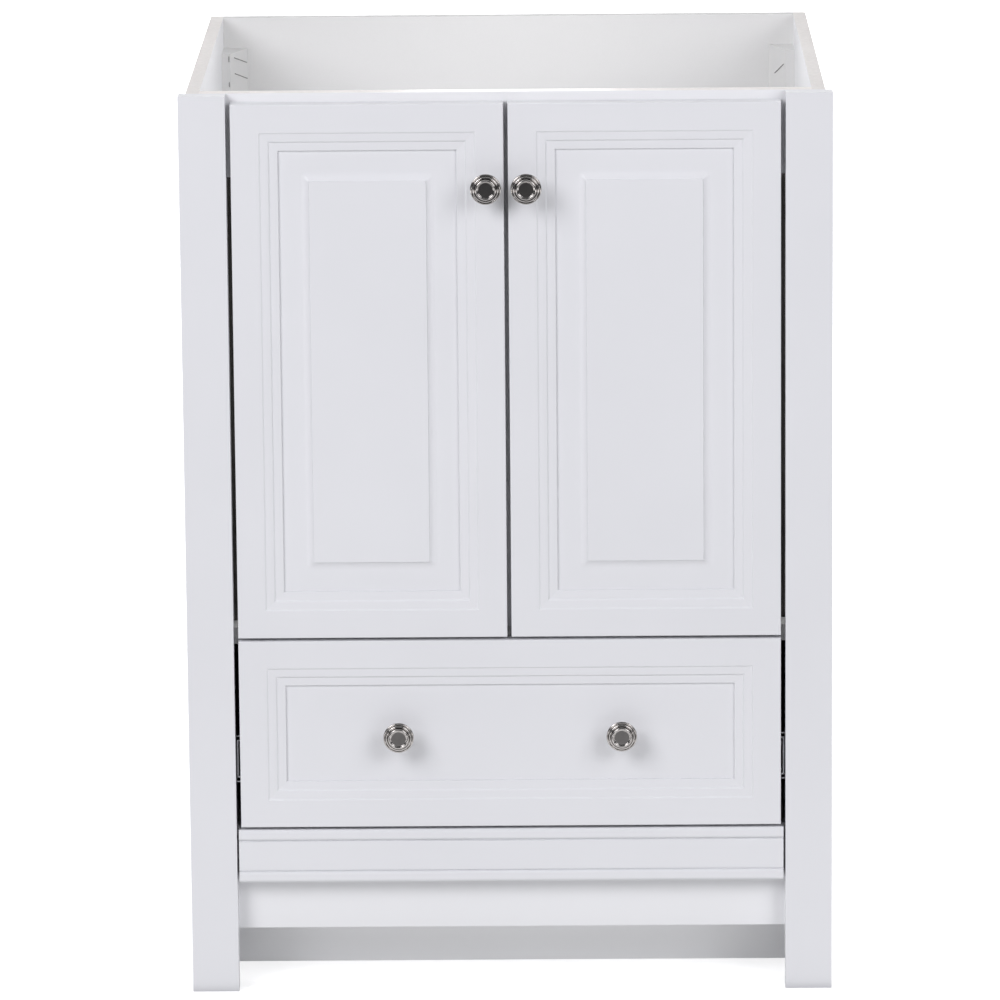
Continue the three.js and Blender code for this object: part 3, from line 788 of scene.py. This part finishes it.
def add_staples(materials):
    """Two slanted staples on the left block's bevelled face and two on its front, one on the right."""
    low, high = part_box("left_corner_block")
    foot = Vector((-SIDE_INNER_X + 8.7 * MM, low.y, 0))
    head = Vector((-SIDE_INNER_X + 24.4 * MM, high.y, 0))
    outward = Vector((head.y - foot.y, foot.x - head.x, 0)).normalized()
    lift = outward * 0.25 * MM

    def on_slant(side, t, drop):
        spot = foot.lerp(head, t) + lift
        return Vector((-side * spot.x, spot.y, high.z - drop * MM))

    left = [(on_slant(-1, 0.22, 5.1), on_slant(-1, 0.9, 14.0))]
    left.append((on_slant(-1, 0.25, 21.3), on_slant(-1, 0.93, 30.5)))
    front_y = low.y - 0.25 * MM
    for top, bottom in ((2.6, 7.6), (28.6, 32.8)):
        x = low.x + 7.3 * MM
        left.append((Vector((x, front_y, high.z - top * MM)), Vector((x, front_y, high.z - bottom * MM))))
    right = [(on_slant(1, 0.12, 14.8), on_slant(1, 0.63, 26.7))]
    for label, rods in (("left", left), ("right", right)):
        add_rods(f"{label}_block_staples", rods, 0.45 * MM, "cabinet", materials["staple"])


def add_hinge_screws(template, materials):
    for label, side in SIDES.items():
        for level in LEVELS:
            low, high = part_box(f"{label}_{level}_hinge_arm")
            z = (low.z + high.z) / 2
            into = Vector((-side, 0, 0))
            plate_x = side * (POST_INNER_X - 6 * MM)
            arm_x = side * (POST_INNER_X - 16.8 * MM)
            plate_y = FRONT_Y + 66 * MM
            spots = [(Vector((plate_x, plate_y, z + rise)), into) for rise in PLATE_SCREW_RISES]
            add_heads(f"{label}_{level}_plate_screws", template, spots, "cabinet", materials)
            spots = [(Vector((arm_x, FRONT_Y + back * MM, z)), into) for back in (58, 73)]
            add_heads(f"{label}_{level}_arm_screws", template, spots, "cabinet", materials, 0.85)
            cup_low, cup_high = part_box(f"{label}_door_{level}_hinge_cup")
            x = (cup_low.x + cup_high.x) / 2
            back = Vector((0, 1, 0))
            spots = [(Vector((x, cup_high.y, z + rise)), back) for rise in CUP_SCREW_RISES]
            name = f"{label}_{level}_cup_screws"
            add_heads(name, template, spots, f"{label}_door", materials, 1.0, CUP_SCREW_SINK)


def add_box_screws(template, materials):
    """The screws that hold the drawer front, and those that hold its slides, seen from inside."""
    low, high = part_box("drawer_box_front")
    back = Vector((0, 1, 0))
    spots = []
    for x in (low.x + 45 * MM, high.x - 45 * MM):
        for z in (low.z + 35 * MM, high.z - 30 * MM):
            spots.append((Vector((x, high.y, z)), back))
    add_heads("drawer_front_screws", template, spots, "drawer", materials)
    for label, side in SIDES.items():
        low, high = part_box(f"{label}_slide_drawer_member")
        web_x = side * (min(abs(low.x), abs(high.x)) + 1.2 * MM)
        outward = Vector((side, 0, 0))
        z = (low.z + high.z) / 2
        spots = [(Vector((web_x, low.y + along, z)), outward) for along in (0.035, 0.13, 0.25)]
        add_heads(f"{label}_slide_screws", template, spots, "drawer", materials, 0.8)


def add_bumpers(materials):
    """Clear stick-on dots at the free corners of each door's back."""
    profile = [(0, 0.85), (2.6, 0.75), (3.8, 0.35), (4.0, 0), (0, 0)]
    for label, side in SIDES.items():
        low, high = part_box(f"{label}_door_meeting_stile")
        x = (low.x + high.x) / 2 - side * 12 * MM
        for level, z in (("lower", low.z + 12 * MM), ("upper", high.z - 12 * MM)):
            place = Vector((x, FRONT_Y + THICK, z))
            dot = [(radius * MM, -out * MM) for radius, out in profile]
            piece = spin(f"{label}_{level}_bumper", dot, place, [materials["bumper"]], 32)
            settle(piece, f"{label}_door")


# ---- Case details ----

def dress_cad_nodes(materials):
    """Gives each CAD node that stays its material and an eased edge."""
    slots = {row["node"]: row["material_slot"] for row in frame["record"]["subparts"]}
    eased = {"white_front": 0.9 * MM, "white_case": 0.45 * MM, "white_inside": 0.45 * MM}
    for name, node in NODES.items():
        if node.hide_render:
            continue
        slot = slots[name]
        node.data.materials.clear()
        # Cleats and slide spacers get the melamine whose fronts carry painted shade.
        finish = "cleat" if name.endswith(("hinge_cleat", "slide_spacer")) else slot
        # The top rail takes the lightened copy of the case paint, a painted highlight.
        node.data.materials.append(materials["rail" if name == "top_rail" else finish])
        bevel(node, eased.get(slot, 0.15 * MM))


def set_world():
    """A faint cool ambient light, seen by the camera as pure white."""
    world = bpy.data.worlds.new("studio")
    bpy.context.scene.world = world
    world.use_nodes = True
    tree = world.node_tree
    background = tree.nodes["Background"]
    background.inputs["Color"].default_value = (0.92, 0.95, 1.0, 1)
    background.inputs["Strength"].default_value = 0.12
    white = tree.nodes.new("ShaderNodeBackground")
    white.inputs["Color"].default_value = (1, 1, 1, 1)
    choice = tree.nodes.new("ShaderNodeMixShader")
    path = tree.nodes.new("ShaderNodeLightPath")
    tree.links.new(path.outputs["Is Camera Ray"], choice.inputs[0])
    tree.links.new(background.outputs["Background"], choice.inputs[1])
    tree.links.new(white.outputs["Background"], choice.inputs[2])
    tree.links.new(choice.outputs["Shader"], tree.nodes["World Output"].inputs["Surface"])
    bpy.context.scene.view_settings.view_transform = "Standard"


add_camera()
set_world()
add_lights()
add_stage()
MATERIALS = make_materials()
make_fronts(MATERIALS)
make_knobs(MATERIALS)
SCREW_HEAD = cross_head(MATERIALS)
add_hinge_screws(SCREW_HEAD, MATERIALS)
add_box_screws(SCREW_HEAD, MATERIALS)
add_staples(MATERIALS)
add_bumpers(MATERIALS)
dress_cad_nodes(MATERIALS)
